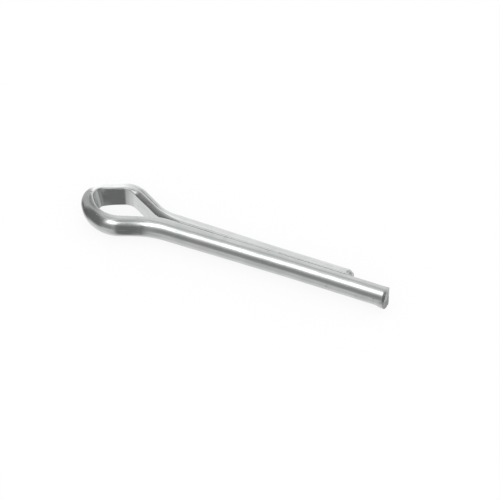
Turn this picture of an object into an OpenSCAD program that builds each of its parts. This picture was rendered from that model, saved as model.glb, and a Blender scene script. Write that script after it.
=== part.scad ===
// Cotter pin, bent from one piece of half-round wire, with one leg longer than the other.
// The shank's axis is the X axis, and its tips point to +X. The pin lies flat, so the hole
// of its eye opens along Z. The origin is on the shank's axis, where the two legs meet and
// the closed round stretch of the shank begins. The long leg is on the -Y side.

/* [Wire] */
// Diameter of the closed shank, which is two half-round legs laid flat to flat
shank_d = 4.5; // [3.2:0.1:6.3]
// Rounding of the wire's two long edges, between its flat and its round back
edge_r = 0.2; // [0.1:0.05:0.3]

/* [Legs] */
// Space between the two flats along the closed stretch
closed_gap = 0.1; // [0.05:0.05:0.3]
// Space between the two flats at the neck, where the legs have sprung apart
neck_gap = 0.7; // [0.4:0.05:1]
// Length over which the sprung legs run together, from the neck to the closed stretch
open_l = 22; // [12:0.5:40]
// Radius of the slight bend that brings each sprung leg parallel to the other
close_r = 60; // [20:5:100]
// Length of the closed stretch, up to the short leg's tip
closed_l = 11.5; // [8:0.5:40]
// How much further the long leg reaches
extra_l = 6.5; // [2:0.5:10]
// How far the round back stands behind the flat at the short leg's sheared tip
short_slant = 0.6; // [0:0.1:1.5]
// The same at the long leg's tip
long_slant = 0.2; // [0:0.1:1.5]

/* [Eye] */
// Length of the eye's opening, from the neck to the crown
eye_l = 14.4; // [14:0.1:16]
// Inside radius of the crown, the tight bend at the far end of the eye
crown_r = 1.6; // [1.2:0.1:2.2]
// How far the crown lies off the shank's axis, towards the short leg's side
crown_off = 0.7; // [0.2:0.1:1.2]
// Angle between the shank and the long leg's side of the eye
long_taper = 18.6; // [16:0.2:21]
// Angle between the shank and the short leg's side of the eye
short_taper = 29.6; // [26:0.2:32]
// Length of the straight between the crown and the shoulder on the long leg's side
long_back_l = 0.6; // [0.4:0.1:1.5]
// Length of the straight between the crown and the shoulder on the short leg's side
short_back_l = 3.5; // [2.5:0.1:4.2]
// Radius of the long leg's bend at the neck, along its flat
long_neck_r = 15; // [10:0.1:25]
// Radius of the short leg's bend at the neck, along its flat
short_neck_r = 8.3; // [5:0.1:11]
// Inside radius of the eye's shoulder on the long leg's side
long_shoulder_r = 4.7; // [4.3:0.1:5.2]
// Inside radius of the eye's shoulder on the short leg's side
short_shoulder_r = 3.1; // [2.2:0.1:4]

/* [Hidden] */
$fn = 72;
zinc = [0.8, 0.82, 0.82];
shank_r = shank_d / 2;

// A bend is thicker than the straight beside it by this much all round, and the straight runs
// this far on into the bend. Both are too little to see or measure, and the two then cross
// cleanly.
hair = 0.002;
lap = 0.02;

// A sprung leg runs straight from the neck to its slight bend, and touches that bend:
// spread is how far it comes in, and spring_a and spring_l are its angle and its length
spread = (neck_gap - closed_gap) / 2;
neck_to_centre = norm([open_l, close_r - spread]);
spring_a = asin(close_r / neck_to_centre) - atan2(close_r - spread, open_l);
spring_l = sqrt(neck_to_centre * neck_to_centre - close_r * close_r);

// The bends and straights of one side, from the crown to the leg's tip. A point is written
// [along the shank, out from its axis], and off is how far out the crown's centre lies.
function stretches(off, back_l, shoulder_r, taper, neck_r, leg_l) =
    let (
        crown = [-open_l - eye_l + crown_r, off],
        // Where the neck's bend ends and the straight taper of the eye starts
        foot = [-open_l - neck_r * (sin(taper) - sin(spring_a)),
                neck_gap / 2 + neck_r * (cos(spring_a) - cos(taper))],
        along = [-cos(taper), sin(taper)],
        inward = [-sin(taper), -cos(taper)],
        // The shoulder touches the taper, and the straight that comes from the crown's bend
        from_crown = foot + shoulder_r * inward - crown,
        half = from_crown * along,
        reach = norm([shoulder_r - crown_r, back_l]),
        taper_l = -half - sqrt(half * half - from_crown * from_crown + reach * reach),
        to_shoulder = from_crown + taper_l * along,
        crown_a = atan2(back_l, shoulder_r - crown_r) - atan2(to_shoulder[1], to_shoulder[0])
    )
    [
        [crown_r, crown_a, hair],
        [0, back_l, 0],
        [shoulder_r, 90 + taper - crown_a, hair],
        [0, taper_l, 0],
        [-neck_r, taper - spring_a, hair],
        [0, spring_l, 0],
        [-close_r, spring_a, hair],
        [0, leg_l, 0]
    ];

// Section of the wire, with its skin moved out by grow: the flat lies along the Y axis, and
// the round back bulges to +X. The edge circles stand a little out of the place where they
// would only touch the back, so that they cross it cleanly.
module section(grow) {
    edge_x = closed_gap / 2 + edge_r;
    edge_y = sqrt(pow(shank_r - edge_r, 2) - edge_x * edge_x) + edge_r / 50;
    intersection() {
        translate([-closed_gap / 2, 0]) circle(shank_r + grow);
        union() {
            polygon([
                [-grow, -edge_y], [edge_r, -edge_y], [edge_r, -shank_d], [shank_d, -shank_d],
                [shank_d, shank_d], [edge_r, shank_d], [edge_r, edge_y], [-grow, edge_y]
            ]);
            for (side = [-1, 1]) translate([edge_r, side * edge_y]) circle(edge_r + grow);
        }
    }
}

// The half-space past Y = 0, as far as a stretch of wire can reach into it
module beyond() {
    translate([-3 * shank_d, 0, -shank_d]) cube([6 * shank_d, 3 * shank_d, 2 * shank_d]);
}

// Puts its children at the end of a stretch. A stretch is [radius at the flat, angle, grow],
// or [0, length, grow] if it is straight. It starts at the origin, and runs along +Y. It
// bends towards the wire's flat if the radius is above 0, and towards its back if below.
module at_end(stretch) {
    r = abs(stretch[0]);
    flip = stretch[0] < 0 ? [1, 0, 0] : [0, 0, 0];
    if (r == 0) translate([0, stretch[1], 0]) children();
    else mirror(flip) translate([-r, 0, 0]) rotate([0, 0, stretch[1]]) translate([r, 0, 0])
        mirror(flip) children();
}

// Wire along one stretch. A straight laps into the bends at its two ends.
module along(stretch) {
    r = abs(stretch[0]);
    flip = stretch[0] < 0 ? [1, 0, 0] : [0, 0, 0];
    if (r == 0) translate([0, -lap, 0]) rotate([-90, 0, 0])
        linear_extrude(stretch[1] + 2 * lap) section(stretch[2]);
    else mirror(flip) translate([-r, 0, 0]) rotate_extrude(angle = stretch[1])
        translate([r, 0]) mirror(flip) section(stretch[2]);
}

// Wire along the stretches from number i on, each one starting where the one before it ends.
// The tip is sheared at an angle, so that the back stands the given slant behind the flat.
module wire(path, slant, i = 1) {
    at_end(path[i - 1]) {
        if (i < len(path) - 1) {
            along(path[i]);
            wire(path, slant, i + 1);
        }
        else difference() {
            along(path[i]);
            at_end(path[i]) rotate([0, 0, -atan2(slant, shank_r)]) beyond();
        }
    }
}

// The crown's bend, which is one arc from the short side's straight to the long side's
module crown(short_a, long_a) {
    translate([crown_r, 0, 0]) rotate([0, 0, 180 - short_a])
        rotate_extrude(angle = short_a + long_a) translate([crown_r, 0]) section(hair);
}

module cotter_pin() {
    long_side = stretches(-crown_off, long_back_l, long_shoulder_r, long_taper, long_neck_r,
        closed_l + extra_l);
    short_side = stretches(crown_off, short_back_l, short_shoulder_r, short_taper, short_neck_r,
        closed_l);
    color(zinc) translate([-open_l - eye_l, crown_off, 0]) {
        crown(short_side[0][1], long_side[0][1]);
        rotate([0, 0, 180]) wire(long_side, long_slant);
        mirror([0, 1, 0]) rotate([0, 0, 180]) wire(short_side, short_slant);
    }
}

cotter_pin();
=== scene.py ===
import math

import bpy
import numpy as np
from mathutils import Matrix, Vector


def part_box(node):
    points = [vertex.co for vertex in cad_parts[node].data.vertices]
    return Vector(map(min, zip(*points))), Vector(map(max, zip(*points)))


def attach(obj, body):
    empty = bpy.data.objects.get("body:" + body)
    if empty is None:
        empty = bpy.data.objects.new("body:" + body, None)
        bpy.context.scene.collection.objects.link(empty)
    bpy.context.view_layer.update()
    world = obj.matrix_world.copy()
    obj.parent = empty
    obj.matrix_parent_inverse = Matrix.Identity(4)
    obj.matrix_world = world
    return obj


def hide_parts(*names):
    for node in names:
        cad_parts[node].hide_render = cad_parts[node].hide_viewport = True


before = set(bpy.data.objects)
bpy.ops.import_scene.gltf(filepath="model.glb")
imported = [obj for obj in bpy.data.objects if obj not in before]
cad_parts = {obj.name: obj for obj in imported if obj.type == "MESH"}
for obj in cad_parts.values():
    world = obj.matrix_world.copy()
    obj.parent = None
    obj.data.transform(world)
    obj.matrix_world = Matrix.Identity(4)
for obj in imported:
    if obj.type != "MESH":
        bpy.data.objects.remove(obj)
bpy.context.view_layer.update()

MM = 0.001
NODE = "cotter_pin"
WHITE = (1, 1, 1, 1)

# A cotter pin of half-round wire, zinc plated and sheared at its tips, on white paper

# ------------------------------------------------------------ the wire, in millimetres
# The driving dimensions of the part's source
SHANK_D, EDGE_R = 4.5, 0.2
CLOSED_GAP, NECK_GAP = 0.1, 0.7
OPEN_L, CLOSE_R, CLOSED_L, EXTRA_L = 22.0, 60.0, 11.5, 6.5
EYE_L, CROWN_R, CROWN_OFF = 14.4, 1.6, 0.7
SHANK_R = SHANK_D / 2

# What bending, wear and the shear add to that. A run is a distance along the wire's flat from
# the crown's middle. An angle goes round the section, in radians, from the middle of its back
# (0) upwards. A pair says where a change starts and where it is complete.
CROWN_IN, CROWN_TILT = 0.38, 0.30       # how far the crown's flat stands in, and how much less at its top
CROWN_END = 3.8                         # run where that has died out, and the eye's side takes over
EYE_DROP, EYE_DROP_RUN = 0.2, (9, 12)   # the eye's flat stands in by this share less from here on
EYE_END = (13, 16.4)                    # and no longer past here
NECK_IN, NECK_RUN = 0.29, 16.4          # a leg's flat stands in at the neck, and less along the open leg
LEG_IN = 0.035                          # and by this more all along it
UPSET_DEPTH, UPSET_POWER = 0.9, 1.5     # how deep in the section this is felt, and how it fades
SKIN_WAVES, SKIN_HEIGHT = (11, 5, 2.6), 0.014      # sizes of the skin's waves, and their height
SKIN_ROUND = 0.6                        # a millimetre round the wire counts as this in the waves
SKIN_IN = 0.018                         # the skin stands in, so that no wave leaves the solid's box
CALM_L = 2.0                            # length before a tip over which the waves die out
WORN_EDGE_R, WORN_SLOPE = 0.5, math.radians(56)    # rounding and slope of the short side's worn upper edge
WORN_OUT, WORN_SOFT = 1.28, 0.05        # how far out its slanting face lies, and how soft its borders are
WORN_START, WORN_END = (6.2, 8.6), (13.5, 18.5)    # runs where that comes and goes
FLARE, FLARE_L = 0.23, 1.8              # the long tip's lower edge, pushed out by the shear
FLARE_MIDDLE, FLARE_WIDTH = math.radians(-35), math.radians(50)
ROLL_FADE = (1.7, 2.2)                  # angles over which a tip's roll-off dies out towards the flat
LONG_BACK = (                           # runs on the eye's long side, and how far its back stands out
    (1.5, 0),
    (4.5, -0.035),
    (7.6, 0.028),
    (10.4, -0.085),
    (13.5, 0),
)
LONG_BACK_TOP = 0.3                     # share of that still felt at the top and bottom of the section
SMOOTHINGS = 12                         # how often it is averaged with its neighbours

# off is how far out from the axis the crown's centre lies. eye_in is how far the flat stands in
# along the eye, and closing the runs where the leg's flat comes up to the other leg's. roll is
# how far the tip's upper rim is rolled off, over roll_l and between the angles in roll_angle.
LONG = dict(off=-CROWN_OFF, back_l=0.6, taper=math.radians(18.6), neck_r=15.0, shoulder_r=4.7,
            leg=CLOSED_L + EXTRA_L, slant=0.2, seed=11, eye_in=0.0, closing=(11.6, 16),
            roll=0.16, roll_l=0.62, roll_angle=(-0.1, 0.5), roll_power=1)
SHORT = dict(off=CROWN_OFF, back_l=3.5, taper=math.radians(29.6), neck_r=8.3, shoulder_r=3.1,
             leg=CLOSED_L, slant=0.6, seed=12, eye_in=0.3, closing=(12, 16.4),
             roll=0.40, roll_l=1.5, roll_angle=(-0.5, 0.4), roll_power=1.5)

# The mesh
RING_STEP = 0.2                         # length of wire between two rings
BEND_STEP = math.radians(3)             # the most that the wire turns between them
TIP_R = 0.08                            # rounding of a sheared tip's rim
TIP_L = 1.2                             # how far back from a tip its slant is felt
TIP_STEPS = np.array([0.72, 0.504, 0.336, 0.204])   # the last rings' distances from the tip
EVEN_END = 0.96                         # distance from the tip where the even rings end
N_FLAT, N_EDGE, N_BACK = 24, 8, 60      # points round the section
CROWDING = 0.55                         # how much the flat's points draw towards its edges
RIM_RINGS, FACE_RINGS = 4, 13           # rings over a sheared tip's rounded rim, and over its face
MIDDLE = np.array([0.9, 0.0])           # the point of the section that a sheared face's rings close on
TORN_WAVES, TORN_HEIGHT = (1.3, 0.6, 0.33), 0.03   # sizes of a torn face's waves, and their height
TORN_SEED = 5                           # added to a side's seed for its sheared face
SUNK, SUNK_MIDDLE, SUNK_WIDTH = 0.05, 1.4, 0.9     # the hollow of a sheared face
RELIEF_START = 0.25                     # share of a sheared face over which its relief grows from the rim
UV_UNIT = 100                           # millimetres in one unit of the texture coordinates


def ease(x, start, end):
    """0 up to start, 1 from end on, with a smooth rise between."""
    t = np.clip((x - start) / (end - start), 0, 1)
    return t * t * (3 - 2 * t)


def hump(x, middle, width):
    """1 at the middle, falling smoothly to 0 at the width on both sides."""
    t = np.clip(1 - ((x - middle) / width) ** 2, 0, 1)
    return t * t * (3 - 2 * t)


def waves(seed, u, v, sizes, height):
    """Smooth unevenness over two coordinates: a few crossed waves of each size, in millimetres."""
    crossed = 3
    draw = np.random.default_rng(seed)
    out = 0
    for size in sizes:
        for _ in range(crossed):
            turn, phase = draw.uniform(0, 2 * math.pi, 2)
            way = u * math.cos(turn) + v * math.sin(turn)
            out = out + np.sin(2 * math.pi * way / size + phase) * size
    return out * height / (crossed * max(sizes))


def stretches(side):
    """The bends and straights of one side, from the crown to its tip: (radius, angle) or (0, length)."""
    taper, neck_r = side["taper"], side["neck_r"]
    shoulder_r, back_l = side["shoulder_r"], side["back_l"]
    # A sprung leg comes in by its spread, straight from the neck to its slight bend
    spread = (NECK_GAP - CLOSED_GAP) / 2
    spring_a = (math.asin(CLOSE_R / math.hypot(OPEN_L, CLOSE_R - spread))
                - math.atan2(CLOSE_R - spread, OPEN_L))
    spring_l = math.sqrt(OPEN_L ** 2 + (CLOSE_R - spread) ** 2 - CLOSE_R ** 2)
    crown = np.array([-OPEN_L - EYE_L + CROWN_R, side["off"]])
    # Where the neck's bend ends and the straight taper of the eye starts
    foot = np.array([-OPEN_L - neck_r * (math.sin(taper) - math.sin(spring_a)),
                     NECK_GAP / 2 + neck_r * (math.cos(spring_a) - math.cos(taper))])
    along = np.array([-math.cos(taper), math.sin(taper)])
    inward = np.array([-math.sin(taper), -math.cos(taper)])
    # The shoulder touches the taper, and the straight that comes from the crown's bend
    from_crown = foot + shoulder_r * inward - crown
    half = from_crown @ along
    reach = math.hypot(shoulder_r - CROWN_R, back_l)
    taper_l = -half - math.sqrt(half ** 2 - from_crown @ from_crown + reach ** 2)
    to_shoulder = from_crown + taper_l * along
    crown_a = math.atan2(back_l, shoulder_r - CROWN_R) - math.atan2(to_shoulder[1], to_shoulder[0])
    return [(CROWN_R, crown_a), (0, back_l), (shoulder_r, math.pi / 2 + taper - crown_a), (0, taper_l),
            (-neck_r, taper - spring_a), (0, spring_l), (-CLOSE_R, spring_a), (0, side["leg"])]


def flat_line(side):
    """Points (x, y) along the wire's flat from the crown to the tip, the way it heads, and its run.

    Both sides are drawn with their outside towards -Y, where the long leg lies.
    """
    rows = [(-OPEN_L - EYE_L, -side["off"], -math.pi / 2)]
    parts = stretches(side)
    for number, (r, amount) in enumerate(parts, 1):
        length = abs(r) * amount if r else amount
        n_turns = math.ceil(amount / BEND_STEP) if r else 0
        shares = np.linspace(0, 1, max(2, math.ceil(length / RING_STEP), n_turns) + 1)[1:]
        if number == len(parts):               # closer rings at the sheared tip
            even = shares[shares < 1 - EVEN_END / length]
            shares = np.concatenate([even, 1 - TIP_STEPS / length, [1 - TIP_R / length]])
        x, y, start = rows[-1]
        for share in shares:
            heading = start + math.copysign(amount, r) * share if r else start
            if r:
                rows.append((x + r * (math.sin(heading) - math.sin(start)),
                             y + r * (math.cos(start) - math.cos(heading)), heading))
            else:
                rows.append((x + math.cos(heading) * amount * share,
                             y + math.sin(heading) * amount * share, heading))
    rows = np.array(rows)
    run = np.concatenate([[0], np.cumsum(np.hypot(*np.diff(rows[:, :2], axis=0).T))])
    return rows[:, :2], rows[:, 2], run


def section(edge_r):
    """Outline of the half-round wire as (out from the flat, up), and the normals of its skin."""
    edge_x = CLOSED_GAP / 2 + edge_r
    edge_y = math.sqrt((SHANK_R - edge_r) ** 2 - edge_x ** 2)
    back_a = math.atan2(edge_y, edge_x)
    points, normals = [], []

    def arc(x, y, r, angles):
        for a in angles:
            points.append((x + r * math.cos(a), y + r * math.sin(a)))
            normals.append((math.cos(a), math.sin(a)))

    for t in np.linspace(-1, 1, N_FLAT):
        points.append((0, edge_y * ((1 - CROWDING) * t + CROWDING * math.sin(t * math.pi / 2))))
        normals.append((-1, 0))
    arc(edge_r, edge_y, edge_r, np.linspace(math.pi, back_a, N_EDGE)[1:])
    arc(-CLOSED_GAP / 2, 0, SHANK_R, np.linspace(back_a, -back_a, N_BACK)[1:-1])
    arc(edge_r, -edge_y, edge_r, np.linspace(-back_a, -math.pi, N_EDGE)[:-1])
    return np.array(points), np.array(normals)


OUTLINE, SKIN = section(EDGE_R)
ANGLE = np.arctan2(SKIN[:, 1], SKIN[:, 0])
GIRTH = np.concatenate([[0], np.cumsum(np.linalg.norm(np.diff(OUTLINE, axis=0), axis=1))])


def worn_edge():
    """What a rounder upper edge with a soft slanting face adds to the outline."""
    points = section(WORN_EDGE_R)[0]
    out = np.array([-math.cos(WORN_SLOPE), math.sin(WORN_SLOPE)])
    over = points @ out - WORN_OUT
    points = points - 0.5 * (over + np.hypot(over, WORN_SOFT))[:, None] * out
    return np.where(OUTLINE[:, 1:] < 0, 0, points - OUTLINE)


def long_back(run):
    """How far the back of the eye's long side stands out: it has a steeper place before its neck."""
    out = np.interp(run, *zip(*LONG_BACK))
    for _ in range(SMOOTHINGS):
        out = (out + np.roll(out, 1, 0) + np.roll(out, -1, 0)) / 3
    return out


def unevenness(side, run, to_tip):
    """How far the skin stands out from the plain section."""
    out = waves(side["seed"], run, GIRTH * SKIN_ROUND, SKIN_WAVES, SKIN_HEIGHT) - SKIN_IN
    out = out * np.clip(to_tip / CALM_L, 0, 1) * np.clip(SKIN[:, 0] + 1, 0, 1)
    if side is LONG:
        out = out + long_back(run) * np.clip(SKIN[:, 0] + LONG_BACK_TOP, 0, 1)
        out = out + FLARE * hump(to_tip, 0, FLARE_L) * hump(ANGLE, FLARE_MIDDLE, FLARE_WIDTH)
    rolled = side["roll"] * (1 - ease(to_tip, 0, side["roll_l"])) ** side["roll_power"]
    return out - rolled * ease(ANGLE, *side["roll_angle"]) * (1 - ease(ANGLE, *ROLL_FADE))


def upset(side, run):
    """How far the wire's flat stands in, towards the hole of the eye or towards the other leg.

    The bends have thickened the wire on the inside, most at the crown's lower edge. Where the
    legs are sprung apart, their flats still come close to each other.
    """
    past_crown = ease(run, 0, CROWN_END)
    crown = (1 - past_crown) * (CROWN_IN - CROWN_TILT * OUTLINE[:, 1] / (SHANK_R - EDGE_R))
    eye = side["eye_in"] * past_crown * (1 - ease(run, *EYE_END))
    eye = eye * (1 - EYE_DROP * ease(run, *EYE_DROP_RUN))
    leg = NECK_IN * np.clip(1 - (run - NECK_RUN) / OPEN_L, 0, None) + LEG_IN
    inward = crown + eye + leg * ease(run, *side["closing"])
    return inward * np.clip(1 - OUTLINE[:, 0] / UPSET_DEPTH, 0, 1) ** UPSET_POWER


def worked_sections(side, run, to_tip):
    """The wire's outline at each run, as (out from the flat, up)."""
    shapes = OUTLINE + unevenness(side, run, to_tip)[..., None] * SKIN
    if side is SHORT:
        worn = ease(run, *WORN_START) * (1 - ease(run, *WORN_END))
        shapes = shapes + worn[..., None] * worn_edge()
    shapes[..., 0] -= upset(side, run)
    return shapes


def placed(side, point, heading, shape, lean, ahead=0.0):
    """A section as a ring of points (x, y, z) at a point of the flat line.

    The lean sets it back along the shank, more with the distance from the flat, as a slanting
    tip is. ahead moves all of it on towards the tips.
    """
    out = np.array([math.sin(heading), -math.cos(heading)])
    ring = np.zeros((len(OUTLINE), 3))
    ring[:, :2] = point + out * shape[:, :1]
    ring[:, 2] = shape[:, 1]
    ring[:, 0] += ahead - lean * shape[:, 0]
    if side is SHORT:
        ring[:, 1] *= -1
    return ring


def tip_rings(side, point, heading, shape):
    """Rings over the rounded rim of a sheared tip, and over its face to near the middle."""
    lean = side["slant"] / SHANK_R
    rings = []
    for a in np.linspace(0, math.pi / 2, RIM_RINGS + 1)[1:]:
        rim = shape - TIP_R * (1 - math.cos(a)) * SKIN
        rings.append(placed(side, point, heading, rim, lean, TIP_R * math.sin(a)))
    # The last rim ring bounds the face, which is torn and a little sunk
    for share in np.linspace(0, 1, FACE_RINGS + 2)[1:-1]:
        face = rim + (MIDDLE - rim) * share
        relief = waves(side["seed"] + TORN_SEED, face[:, 0], face[:, 1], TORN_WAVES, TORN_HEIGHT)
        relief = relief - SUNK * hump(face[:, 0], SUNK_MIDDLE, SUNK_WIDTH)
        ahead = TIP_R + relief * min(1, share / RELIEF_START)
        rings.append(placed(side, point, heading, face, lean, ahead))
    return rings


def side_rings(side):
    """Rings of points from the crown to the middle of the sheared tip, and the run of each."""
    line, heading, run = flat_line(side)
    to_tip = run[-1] + TIP_R - run
    shapes = worked_sections(side, run[:, None], to_tip[:, None])
    lean = side["slant"] / SHANK_R * np.clip(1 - to_tip / TIP_L, 0, 1)
    rings = [placed(side, *ring) for ring in zip(line, heading, shapes, lean)]
    rings += tip_rings(side, line[-1], heading[-1], shapes[-1])
    return rings, np.pad(run, (0, len(rings) - len(run)), mode="edge")


def ring_faces(n_rings):
    """Quads between the rings, then a fan of triangles at each end, round the mesh's last two points."""
    n = len(OUTLINE)
    faces = []
    for ring in range(n_rings - 1):
        for j in range(n):
            k = (j + 1) % n
            faces.append((ring * n + j, (ring + 1) * n + j, (ring + 1) * n + k, ring * n + k))
    for j in range(n):
        k = (j + 1) % n
        faces.append((n_rings * n, j, k))
        faces.append((n_rings * n + 1, (n_rings - 1) * n + k, (n_rings - 1) * n + j))
    return faces


def map_wire(mesh, run):
    """Texture coordinates along the wire and round it. The fans at the ends need none."""
    n_bands, n_round = len(run) - 1, len(OUTLINE)
    girth = np.append(GIRTH, GIRTH[-1] + np.linalg.norm(OUTLINE[0] - OUTLINE[-1]))
    ring = np.repeat(np.arange(n_bands), n_round)
    place = np.tile(np.arange(n_round), n_bands)
    quads_end = 4 * n_bands * n_round
    coordinates = np.zeros((len(mesh.loops), 2), np.float32)
    for corner, (on_ring, on_place) in enumerate(((0, 0), (1, 0), (1, 1), (0, 1))):
        coordinates[corner:quads_end:4, 0] = run[ring + on_ring] / UV_UNIT
        coordinates[corner:quads_end:4, 1] = girth[place + on_place] / UV_UNIT
    mesh.uv_layers.new(name="wire").data.foreach_set("uv", coordinates.ravel())


def mark_cuts(mesh, n_bands):
    """Gives the sheared faces, with the inner half of their rims, the mesh's second material."""
    n_cut = FACE_RINGS + RIM_RINGS // 2
    band = np.repeat(np.arange(n_bands), len(OUTLINE))
    in_bands = (band < n_cut) | (band >= n_bands - n_cut)
    in_fans = np.ones(2 * len(OUTLINE), bool)
    mesh.polygons.foreach_set("material_index", np.append(in_bands, in_fans).astype(np.int32))


def build_wire():
    """The whole pin: rings from the long tip round the eye to the short tip."""
    long_rings, long_run = side_rings(LONG)
    short_rings, short_run = side_rings(SHORT)
    rings = long_rings[::-1] + short_rings[1:]
    run = np.concatenate([-long_run[::-1], short_run[1:]])
    points = np.vstack(rings + [rings[0].mean(0), rings[-1].mean(0)]) * MM
    mesh = bpy.data.meshes.new("cotter_pin_wire")
    mesh.from_pydata([tuple(point) for point in points], [], ring_faces(len(rings)))
    mesh.update()
    mesh.shade_smooth()
    map_wire(mesh, run)
    mark_cuts(mesh, len(rings) - 1)
    wire = bpy.data.objects.new("cotter_pin_wire", mesh)
    bpy.context.scene.collection.objects.link(wire)
    return wire


# ------------------------------------------------------------ materials
# Linear colours, and how deep the reliefs are, in metres
ZINC_COOL = (0.755, 0.785, 0.780, 1)
ZINC_PALE = (0.835, 0.845, 0.838, 1)
ZINC_GREENISH = (0.79, 0.825, 0.80, 1)
DRAWN_LINE = (0.68, 0.70, 0.70, 1)
RUBBED_EDGE = (0.70, 0.695, 0.68, 1)
SCRATCHED = (0.60, 0.61, 0.61, 1)
NICKED = (0.50, 0.51, 0.51, 1)
TORN_STEEL = (0.66, 0.665, 0.66, 1)
SMOOTH_CUT = (0.79, 0.80, 0.79, 1)
DRAG_MARK = (0.56, 0.56, 0.55, 1)
TORN_PIT = (0.52, 0.52, 0.51, 1)
FLOOR_COLOUR = (0.97, 0.97, 0.97, 1)
PEEL_DEPTH, LINE_DEPTH, DAMAGE_DEPTH = 0.011 * MM, 0.0016 * MM, 0.006 * MM
DRAG_DEPTH, TORN_DEPTH = 0.010 * MM, 0.007 * MM


def add(tree, kind, inputs=None, **settings):
    """A new node. Its inputs are given by name or number, each as a link or as a value."""
    node = tree.nodes.new(kind)
    for key, value in settings.items():
        setattr(node, key, value)
    for key, value in (inputs or {}).items():
        if isinstance(value, bpy.types.NodeSocket):
            tree.links.new(value, node.inputs[key])
        else:
            node.inputs[key].default_value = value
    return node


def calc(tree, operation, *values):
    return add(tree, "ShaderNodeMath", dict(enumerate(values)), operation=operation).outputs[0]


def stretched(tree, vector, by):
    return add(tree, "ShaderNodeVectorMath", {0: vector, 1: by}, operation="MULTIPLY").outputs[0]


def noise(tree, vector, scale=1.0, detail=2.0, rough=0.5, distortion=0.0):
    inputs = {"Vector": vector, "Scale": scale, "Detail": detail, "Roughness": rough,
              "Distortion": distortion}
    return add(tree, "ShaderNodeTexNoise", inputs).outputs[0]


def ramp(tree, value, low, high, out_low=0.0, out_high=1.0):
    """Carries low..high over to out_low..out_high, smoothly and no further. low may be the greater."""
    inputs = {"Value": value, "From Min": low, "From Max": high, "To Min": out_low, "To Max": out_high}
    return add(tree, "ShaderNodeMapRange", inputs, interpolation_type="SMOOTHSTEP").outputs["Result"]


# A mix node has a pair of sockets named A and B for each kind of value, so they go by number
def mix(tree, factor, a, b):
    """The number a where the factor is 0, and b where it is 1."""
    return add(tree, "ShaderNodeMix", {0: factor, 2: a, 3: b}).outputs[0]


def blend(tree, factor, a, b):
    """The colour a where the factor is 0, and b where it is 1."""
    return add(tree, "ShaderNodeMix", {0: factor, 6: a, 7: b}, data_type="RGBA").outputs[2]


def bump(tree, height, depth, normal=None):
    """The normal of a relief, laid over that of another one."""
    inputs = {"Height": height, "Distance": depth, "Strength": 1.0}
    if normal is not None:
        inputs["Normal"] = normal
    return add(tree, "ShaderNodeBump", inputs).outputs[0]


def material(name):
    """A new material, its node tree and its shader."""
    new = bpy.data.materials.new(name)
    new.use_nodes = True
    return new, new.node_tree, new.node_tree.nodes["Principled BSDF"]


def on_wire(tree):
    """Coordinates along and round the wire, in millimetres."""
    unrolled = add(tree, "ShaderNodeUVMap", uv_map="wire").outputs[0]
    return stretched(tree, unrolled, (UV_UNIT,) * 3)


def in_space(tree):
    """Coordinates in the pin's own space, in millimetres."""
    return stretched(tree, add(tree, "ShaderNodeTexCoord").outputs["Object"], (1 / MM,) * 3)


def rubbed(tree, wire_mm, space_mm):
    """1 along the wire's two long edges, where the plating is rubbed thin, with a ragged border."""
    edge_l = GIRTH[N_FLAT + N_EDGE - 2] - GIRTH[N_FLAT - 1]
    upper, lower = GIRTH[N_FLAT - 1] + edge_l / 2, GIRTH[-1] - edge_l / 2
    place = add(tree, "ShaderNodeSeparateXYZ", {0: wire_mm}).outputs["Y"]
    to_upper = calc(tree, "ABSOLUTE", calc(tree, "SUBTRACT", place, upper))
    to_lower = calc(tree, "ABSOLUTE", calc(tree, "SUBTRACT", place, lower))
    ragged = calc(tree, "MULTIPLY", noise(tree, space_mm, scale=1.3, detail=3.0), 0.22)
    return ramp(tree, calc(tree, "ADD", calc(tree, "MINIMUM", to_upper, to_lower), ragged), 0.30, 0.14)


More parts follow.
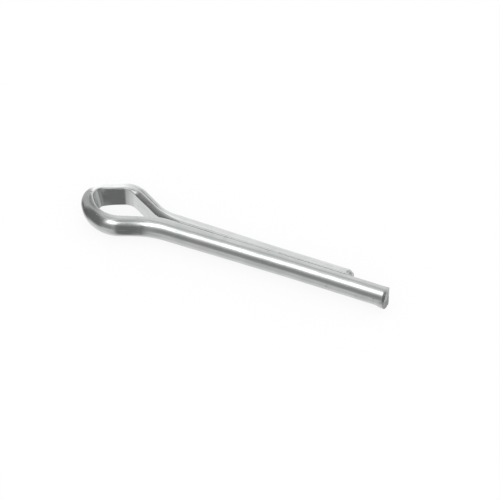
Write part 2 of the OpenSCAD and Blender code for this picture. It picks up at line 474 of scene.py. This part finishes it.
def zinc_plating():
    """Bright zinc on drawn wire: a cool tint that drifts, drawing lines, rubbed long edges, a few nicks.

    A noise's scale, and the numbers that stretch its coordinates, are cycles in a millimetre.
    """
    zinc, tree, shader = material("zinc_plating")
    wire_mm, space_mm = on_wire(tree), in_space(tree)
    drift = noise(tree, space_mm, scale=0.28, detail=3.0, rough=0.55, distortion=0.6)
    cloud = ramp(tree, drift, 0.34, 0.66)
    grain = noise(tree, space_mm, scale=2.3, detail=4.0, rough=0.6)
    peel = noise(tree, space_mm, scale=0.75)
    lines = noise(tree, stretched(tree, wire_mm, (0.10, 7.0, 1)), detail=3.0, rough=0.6)
    scratch = ramp(tree, noise(tree, stretched(tree, wire_mm, (0.32, 15.0, 1))), 0.67, 0.74)
    spots = add(tree, "ShaderNodeTexVoronoi", {"Vector": space_mm, "Scale": 0.42}).outputs["Distance"]
    nick = ramp(tree, calc(tree, "ADD", spots, calc(tree, "MULTIPLY", grain, 0.16)), 0.17, 0.125)
    damage = calc(tree, "MAXIMUM", scratch, nick)
    worn = rubbed(tree, wire_mm, space_mm)

    tone = blend(tree, cloud, ZINC_COOL, ZINC_PALE)
    tone = blend(tree, ramp(tree, grain, 0.35, 0.65, out_high=0.35), tone, ZINC_GREENISH)
    tone = blend(tree, ramp(tree, lines, 0.52, 0.72, out_high=0.30), tone, DRAWN_LINE)
    tone = blend(tree, calc(tree, "MULTIPLY", worn, 0.55), tone, RUBBED_EDGE)
    tone = blend(tree, calc(tree, "MULTIPLY", scratch, 0.45), tone, SCRATCHED)
    tone = blend(tree, calc(tree, "MULTIPLY", nick, 0.6), tone, NICKED)
    tree.links.new(tone, shader.inputs["Base Color"])
    shader.inputs["Metallic"].default_value = 1.0

    rough = ramp(tree, cloud, 0.0, 1.0, out_low=0.20, out_high=0.15)
    rough = calc(tree, "ADD", rough, ramp(tree, lines, 0.35, 0.70, out_low=-0.02, out_high=0.06))
    rough = calc(tree, "ADD", rough, calc(tree, "MULTIPLY", worn, 0.05))
    rough = calc(tree, "ADD", rough, calc(tree, "MULTIPLY", damage, 0.14))
    tree.links.new(rough, shader.inputs["Roughness"])

    normal = bump(tree, peel, PEEL_DEPTH)
    normal = bump(tree, lines, LINE_DEPTH, normal)
    normal = bump(tree, calc(tree, "MULTIPLY", damage, -1.0), DAMAGE_DEPTH, normal)
    tree.links.new(normal, shader.inputs["Normal"])
    return zinc


def sheared_steel():
    """The faces left by the shear: dragged zinc and a smooth cut above, torn steel below."""
    steel, tree, shader = material("zinc_sheared")
    space_mm = in_space(tree)
    dragged = noise(tree, stretched(tree, space_mm, (0.5, 6.5, 0.35)), detail=3.0, rough=0.6)
    torn = noise(tree, space_mm, scale=3.2, detail=5.0, rough=0.65)
    height = add(tree, "ShaderNodeSeparateXYZ", {0: space_mm}).outputs["Z"]
    cut_level = calc(tree, "ADD", height, calc(tree, "MULTIPLY", torn, 1.3))
    smooth_cut = ramp(tree, cut_level, 0.35, 1.0)

    tone = blend(tree, smooth_cut, TORN_STEEL, SMOOTH_CUT)
    tone = blend(tree, ramp(tree, dragged, 0.52, 0.70, out_high=0.5), tone, DRAG_MARK)
    tone = blend(tree, ramp(tree, torn, 0.58, 0.72, out_high=0.4), tone, TORN_PIT)
    tree.links.new(tone, shader.inputs["Base Color"])
    shader.inputs["Metallic"].default_value = 1.0

    rough = ramp(tree, smooth_cut, 0.0, 1.0, out_low=0.44, out_high=0.28)
    rough = calc(tree, "ADD", rough, ramp(tree, dragged, 0.3, 0.7, out_low=-0.04, out_high=0.08))
    tree.links.new(rough, shader.inputs["Roughness"])

    normal = bump(tree, torn, TORN_DEPTH, bump(tree, dragged, DRAG_DEPTH))
    tree.links.new(normal, shader.inputs["Normal"])
    return steel


wire = build_wire()
wire.data.materials.append(zinc_plating())
wire.data.materials.append(sheared_steel())

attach(wire, "root")
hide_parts(NODE)

# ------------------------------------------------------------ floor, in metres
FLOOR_GAP = 0.02 * MM           # the pin stands clear of the floor by this
FLOOR_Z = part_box(NODE)[0].z - FLOOR_GAP
FLOOR_HALF = 3.0                # from the floor's middle to its sides
FLOOR_GLOW = 0.88               # the share of pure white in what the camera sees of it


def floor_material():
    """Matt white with a faint shadow. The metal looks through it, and sees the room's lower half."""
    paper, tree, shader = material("studio_floor")
    shader.inputs["Base Color"].default_value = FLOOR_COLOUR
    shader.inputs["Roughness"].default_value = 1.0
    shader.inputs["Specular IOR Level"].default_value = 0.0
    ray = add(tree, "ShaderNodeLightPath").outputs
    glow = add(tree, "ShaderNodeEmission", {"Color": WHITE, "Strength": 1.0}).outputs[0]
    clear = add(tree, "ShaderNodeBsdfTransparent").outputs[0]
    glowing = calc(tree, "MULTIPLY", ray["Is Camera Ray"], FLOOR_GLOW)
    through = calc(tree, "MAXIMUM", ray["Is Glossy Ray"], ray["Is Transmission Ray"])
    seen = add(tree, "ShaderNodeMixShader", {0: glowing, 1: shader.outputs[0], 2: glow}).outputs[0]
    surface = add(tree, "ShaderNodeMixShader", {0: through, 1: seen, 2: clear}).outputs[0]
    tree.links.new(surface, tree.nodes["Material Output"].inputs["Surface"])
    return paper


def build_floor():
    corners = [(x * FLOOR_HALF, y * FLOOR_HALF, FLOOR_Z) for x, y in ((-1, -1), (1, -1), (1, 1), (-1, 1))]
    mesh = bpy.data.meshes.new("floor")
    mesh.from_pydata(corners, [], [(0, 1, 2, 3)])
    mesh.materials.append(floor_material())
    plane = bpy.data.objects.new("floor", mesh)
    bpy.context.scene.collection.objects.link(plane)
    return plane


floor = build_floor()

# ------------------------------------------------------------ light
# The studio round the pin: areas of one brightness with soft edges, each laid over those before
# it. An azimuth is 0 at the back (+Y), 90 at +X and -90 at -X; 1 is white.
BASE_LEVEL = 0.58
AZIMUTH_START = -260            # azimuths run on from here for a full turn
ROOM = [
    # level, azimuth from and to, elevation from and to, softness of the edges in degrees
    (0.74, -70, 60, 35, 95, 16),         # ceiling at the back
    (0.38, -220, -172, 63, 80, 6),       # gap in the ceiling at the front
    (0.46, -135, -95, 66, 80, 6),        # gap in the ceiling at the left
    (0.78, -168, -136, 58, 77, 8),       # pale part of the ceiling between them
    (0.70, -155, 60, -95, -50, 12),      # table
    (0.78, -125, -75, -62, -42, 8),      # pale part of the table at the left
    (0.50, -205, -160, -95, -32, 14),    # table in front
    (0.15, -262, -184, -75, 35, 9),      # front right, dark
    (0.24, -262, -188, 35, 62, 8),       # its upper part
    (0.34, -262, -213, -80, -36, 8),     # its foot
    (0.26, -182, -140, -16, 22, 9),      # dark line along the front
    (0.15, -151, -93, -25, 55, 10),      # front left, dark
    (0.12, -108, -74, -38, 6, 8),        # its foot on the left
    (0.43, -92, -64, -12, 52, 6),        # left
    (0.24, -80, -48, 36, 60, 8),         # dark part above it
    (0.46, -68, -50, -52, 34, 5),        # strip beside the window
    (1.25, -44, -19, -52, 42, 6),        # window at the back left
    (0.88, -20, -4, -60, 60, 8),         # bright wall beside it
    (0.60, -4, 14, -40, 30, 8),          # back, a little to the right
    (0.17, 14, 58, -45, 22, 6),          # dark part beside it
    (0.28, -9, 2, 12, 44, 5),            # dark strip on the bright wall's edge
    (0.95, -6, 30, -75, -38, 6),         # bright table at the back
    (0.24, 34, 62, -70, -36, 6),         # dark part of the table at the back right
    (0.42, 62, 100, -70, -36, 6),        # table at the right
]
BOX_WIDTH, BOX_HEIGHT = 0.42, 0.40       # the softbox, in metres
BOX_LEVEL = 1.08                         # its brightness, where 1 is white
BOX_TOWARDS, BOX_DISTANCE = (-0.125, -0.665, 0.74), 0.9


def between(tree, value, low, high, soft):
    """1 from low to high and 0 outside, with soft edges."""
    rise = ramp(tree, value, low - soft, low + soft)
    return calc(tree, "MULTIPLY", rise, ramp(tree, value, high + soft, high - soft))


def studio():
    """The room that the metal mirrors. The camera and the matt floor see plain white instead."""
    world = bpy.data.worlds.new("studio")
    world.use_nodes = True
    tree = world.node_tree
    towards = add(tree, "ShaderNodeTexCoord").outputs["Generated"]
    x, y, z = add(tree, "ShaderNodeSeparateXYZ", {0: towards}).outputs
    azimuth = calc(tree, "DEGREES", calc(tree, "ARCTAN2", x, y))
    azimuth = calc(tree, "WRAP", azimuth, AZIMUTH_START + 360, AZIMUTH_START)
    elevation = calc(tree, "DEGREES", calc(tree, "ARCSINE", z))
    room = BASE_LEVEL
    for level, left, right, low, high, soft in ROOM:
        across = between(tree, azimuth, left, right, soft)
        upwards = between(tree, elevation, low, high, soft)
        room = mix(tree, calc(tree, "MULTIPLY", across, upwards), room, level)
    ray = add(tree, "ShaderNodeLightPath").outputs
    plain = calc(tree, "MAXIMUM", ray["Is Camera Ray"], ray["Is Diffuse Ray"])
    background = tree.nodes["Background"]
    background.inputs["Color"].default_value = WHITE
    tree.links.new(mix(tree, plain, room, 1.0), background.inputs["Strength"])
    return world


def build_softbox():
    """The one lamp, which stands high in front, a little to the left."""
    lamp = bpy.data.lights.new("front_box", "AREA")
    lamp.shape = "RECTANGLE"
    lamp.size, lamp.size_y = BOX_WIDTH, BOX_HEIGHT
    lamp.energy = BOX_LEVEL * math.pi * BOX_WIDTH * BOX_HEIGHT
    softbox = bpy.data.objects.new("front_box", lamp)
    bpy.context.scene.collection.objects.link(softbox)
    towards = Vector(BOX_TOWARDS).normalized()
    softbox.location = towards * BOX_DISTANCE
    softbox.rotation_mode = "QUATERNION"
    softbox.rotation_quaternion = towards.to_track_quat("Z", "Y")


bpy.context.scene.world = studio()
build_softbox()

# ------------------------------------------------------------ camera, as found from the photo
AZIMUTH, ELEVATION, ROLL = math.radians(22.67), math.radians(50.87), math.radians(0.71)
PHOTO_PX = 500                           # the photo's width
PX_PER_MM = 5.9136                       # its scale at the point that the camera looks at
LOOK_RIGHT, LOOK_UP = -6.5772, 2.4989    # that point, in mm from the origin across the picture
DISTANCE_PX = 2500                       # how far from it the camera is, in pixels
SENSOR = 36


def build_camera():
    lens = bpy.data.cameras.new("camera")
    camera = bpy.data.objects.new("camera", lens)
    bpy.context.scene.collection.objects.link(camera)
    right = Vector((math.cos(AZIMUTH), math.sin(AZIMUTH), 0))
    back = Vector((math.sin(AZIMUTH) * math.cos(ELEVATION), -math.cos(AZIMUTH) * math.cos(ELEVATION),
                   math.sin(ELEVATION)))
    up = back.cross(right)
    camera.location = (right * LOOK_RIGHT + up * LOOK_UP + back * DISTANCE_PX / PX_PER_MM) * MM
    rolled_right = right * math.cos(ROLL) - up * math.sin(ROLL)
    rolled_up = right * math.sin(ROLL) + up * math.cos(ROLL)
    camera.rotation_mode = "QUATERNION"
    camera.rotation_quaternion = Matrix((rolled_right, rolled_up, back)).transposed().to_quaternion()
    lens.sensor_width = SENSOR
    lens.lens = SENSOR * DISTANCE_PX / PHOTO_PX
    lens.clip_start, lens.clip_end = 0.01, 20
    return camera


bpy.context.scene.camera = build_camera()

bpy.context.scene.view_settings.view_transform = "Standard"
